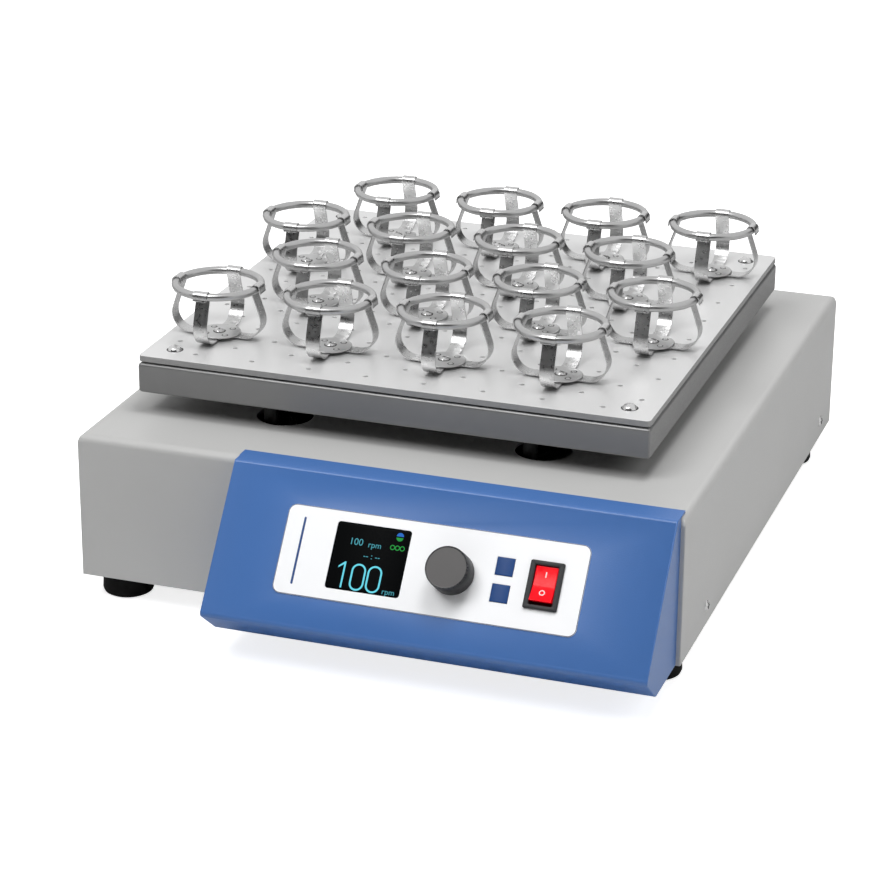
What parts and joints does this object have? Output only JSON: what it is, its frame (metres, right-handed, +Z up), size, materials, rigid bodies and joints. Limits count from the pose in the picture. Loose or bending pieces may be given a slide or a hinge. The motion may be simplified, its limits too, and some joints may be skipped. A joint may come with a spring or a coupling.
{
  "type": "orbital shaker",
  "caption": "Bench-top orbital shaker: a low grey casing with a sloped blue front console, and a square perforated platform with spring flask clamps on an eccentric drive.",
  "frame": {"origin": "middle of the footprint, on the surface that the feet stand on", "axes": "+Z up, -Y towards the user and the console, +X to the user's right"},
  "size_m": [0.4136, 0.5174, 0.2],
  "materials": {
    "housing_cover": "satin light grey coating",
    "base_tray": "satin grey coating",
    "cover_screws": "plain",
    "rubber_feet": "matte black",
    "console_shell": "fine textured blue coating",
    "panel_overlay": "printed film",
    "display_window": "dark pane",
    "rotary_encoder": "black",
    "switch_bezel": "black",
    "control_board": "green board",
    "mains_inlet": "black",
    "power_supply": "plain case",
    "main_bearing_block": "machined",
    "drive_motor": "black",
    "motor_bracket": "plain sheet",
    "drive_belt": "black",
    "corner_bearing_blocks": "milled",
    "main_crank": "turned",
    "drive_pulley": "turned",
    "counterweight": "plain",
    "platform_tray": "satin",
    "platform_hubs": "turned",
    "platform_plate": "fine satin",
    "platform_screws": "plain",
    "flask_clamp_01": "bright strip",
    "flask_clamp_02": "bright strip",
    "flask_clamp_03": "bright strip",
    "flask_clamp_04": "bright strip",
    "flask_clamp_05": "bright strip",
    "flask_clamp_06": "bright strip",
    "flask_clamp_07": "bright strip",
    "flask_clamp_08": "bright strip",
    "flask_clamp_09": "bright strip",
    "flask_clamp_10": "bright strip",
    "flask_clamp_11": "bright strip",
    "flask_clamp_12": "bright strip",
    "flask_clamp_13": "bright strip",
    "flask_clamp_14": "bright strip",
    "flask_clamp_15": "bright strip",
    "flask_clamp_16": "bright strip",
    "spring_rings_row_1": "spring wire",
    "spring_rings_row_2": "spring wire",
    "spring_rings_row_3": "spring wire",
    "spring_rings_row_4": "spring wire",
    "motor_pulley": "turned",
    "encoder_plunger": "plain",
    "control_knob": "black with a grey front",
    "knob_shaft": "plain",
    "switch_rocker": "translucent red",
    "program_key": "blue",
    "select_key": "blue",
    "corner_crank_front_left": "turned",
    "corner_crank_rear_left": "turned",
    "corner_crank_front_right": "turned",
    "corner_crank_rear_right": "turned"
  },
  "bodies": {
    "casing": {"housing_cover": "housing_cover", "base_tray": "base_tray", "cover_screws": "cover_screws", "rubber_feet": "rubber_feet", "console_shell": "console_shell", "panel_overlay": "panel_overlay", "display_window": "display_window", "rotary_encoder": "rotary_encoder", "switch_bezel": "switch_bezel", "control_board": "control_board", "mains_inlet": "mains_inlet", "power_supply": "power_supply", "main_bearing_block": "main_bearing_block", "drive_motor": "drive_motor", "motor_bracket": "motor_bracket", "drive_belt": "drive_belt", "corner_bearing_blocks": "corner_bearing_blocks"},
    "drive_crank": {"main_crank": "main_crank", "drive_pulley": "drive_pulley", "counterweight": "counterweight"},
    "platform": {"platform_tray": "platform_tray", "platform_hubs": "platform_hubs", "platform_plate": "platform_plate", "platform_screws": "platform_screws", "flask_clamp_01": "flask_clamp_01", "flask_clamp_02": "flask_clamp_02", "flask_clamp_03": "flask_clamp_03", "flask_clamp_04": "flask_clamp_04", "flask_clamp_05": "flask_clamp_05", "flask_clamp_06": "flask_clamp_06", "flask_clamp_07": "flask_clamp_07", "flask_clamp_08": "flask_clamp_08", "flask_clamp_09": "flask_clamp_09", "flask_clamp_10": "flask_clamp_10", "flask_clamp_11": "flask_clamp_11", "flask_clamp_12": "flask_clamp_12", "flask_clamp_13": "flask_clamp_13", "flask_clamp_14": "flask_clamp_14", "flask_clamp_15": "flask_clamp_15", "flask_clamp_16": "flask_clamp_16", "spring_rings_row_1": "spring_rings_row_1", "spring_rings_row_2": "spring_rings_row_2", "spring_rings_row_3": "spring_rings_row_3", "spring_rings_row_4": "spring_rings_row_4"},
    "motor_rotor": {"motor_pulley": "motor_pulley"},
    "encoder_press": {"encoder_plunger": "encoder_plunger"},
    "knob": {"control_knob": "control_knob", "knob_shaft": "knob_shaft"},
    "rocker": {"switch_rocker": "switch_rocker"},
    "program_button": {"program_key": "program_key"},
    "select_button": {"select_key": "select_key"},
    "corner_crank_front_left": {"corner_crank_front_left": "corner_crank_front_left"},
    "corner_crank_rear_left": {"corner_crank_rear_left": "corner_crank_rear_left"},
    "corner_crank_front_right": {"corner_crank_front_right": "corner_crank_front_right"},
    "corner_crank_rear_right": {"corner_crank_rear_right": "corner_crank_rear_right"}
  },
  "joints": [
    {"name": "crank_spin", "type": "hinge", "parent": "casing", "child": "drive_crank", "pos_m": [0, 0.04107, 0.099], "axis": [0, 0, 1], "continuous": true},
    {"name": "platform_hold", "type": "hinge", "parent": "drive_crank", "child": "platform", "pos_m": [-0.00707, 0.034, 0.141], "axis": [0, 0, 1], "continuous": true},
    {"name": "corner_crank_front_left_spin", "type": "hinge", "parent": "casing", "child": "corner_crank_front_left", "pos_m": [-0.09, -0.11093, 0.098], "axis": [0, 0, 1], "continuous": true},
    {"name": "corner_crank_rear_left_spin", "type": "hinge", "parent": "casing", "child": "corner_crank_rear_left", "pos_m": [-0.09, 0.19307, 0.098], "axis": [0, 0, 1], "continuous": true},
    {"name": "corner_crank_front_right_spin", "type": "hinge", "parent": "casing", "child": "corner_crank_front_right", "pos_m": [0.09, -0.11093, 0.098], "axis": [0, 0, 1], "continuous": true},
    {"name": "corner_crank_rear_right_spin", "type": "hinge", "parent": "casing", "child": "corner_crank_rear_right", "pos_m": [0.09, 0.19307, 0.098], "axis": [0, 0, 1], "continuous": true},
    {"name": "motor_spin", "type": "hinge", "parent": "casing", "child": "motor_rotor", "pos_m": [-0.125, 0.09107, 0.071], "axis": [0, 0, 1], "continuous": true},
    {"name": "knob_press", "type": "slide", "parent": "casing", "child": "encoder_press", "axis": [0, 0.798, -0.6026], "range_m": [0, 0.0005], "stiffness_N_per_m": 6000, "springref_m": -0.0005},
    {"name": "knob_turn", "type": "hinge", "parent": "encoder_press", "child": "knob", "pos_m": [0.06875, -0.23532, 0.08203], "axis": [0, -0.798, 0.6026], "continuous": true},
    {"name": "power_rocker", "type": "hinge", "parent": "casing", "child": "rocker", "pos_m": [0.12755, -0.22686, 0.07664], "axis": [1, 0, 0], "range_deg": [0, 18]},
    {"name": "program_press", "type": "slide", "parent": "casing", "child": "program_button", "axis": [0, 0.798, -0.6026], "range_m": [0, 0.0003], "stiffness_N_per_m": 4000, "springref_m": -0.0003},
    {"name": "select_press", "type": "slide", "parent": "casing", "child": "select_button", "axis": [0, 0.798, -0.6026], "range_m": [0, 0.0003], "stiffness_N_per_m": 4000, "springref_m": -0.0003}
  ],
  "couplings": [
    {"joint": "platform_hold", "follows": "crank_spin", "ratio": -1},
    {"joint": "corner_crank_front_left_spin", "follows": "crank_spin", "ratio": 1},
    {"joint": "corner_crank_rear_left_spin", "follows": "crank_spin", "ratio": 1},
    {"joint": "corner_crank_front_right_spin", "follows": "crank_spin", "ratio": 1},
    {"joint": "corner_crank_rear_right_spin", "follows": "crank_spin", "ratio": 1},
    {"joint": "motor_spin", "follows": "crank_spin", "ratio": 4}
  ]
}
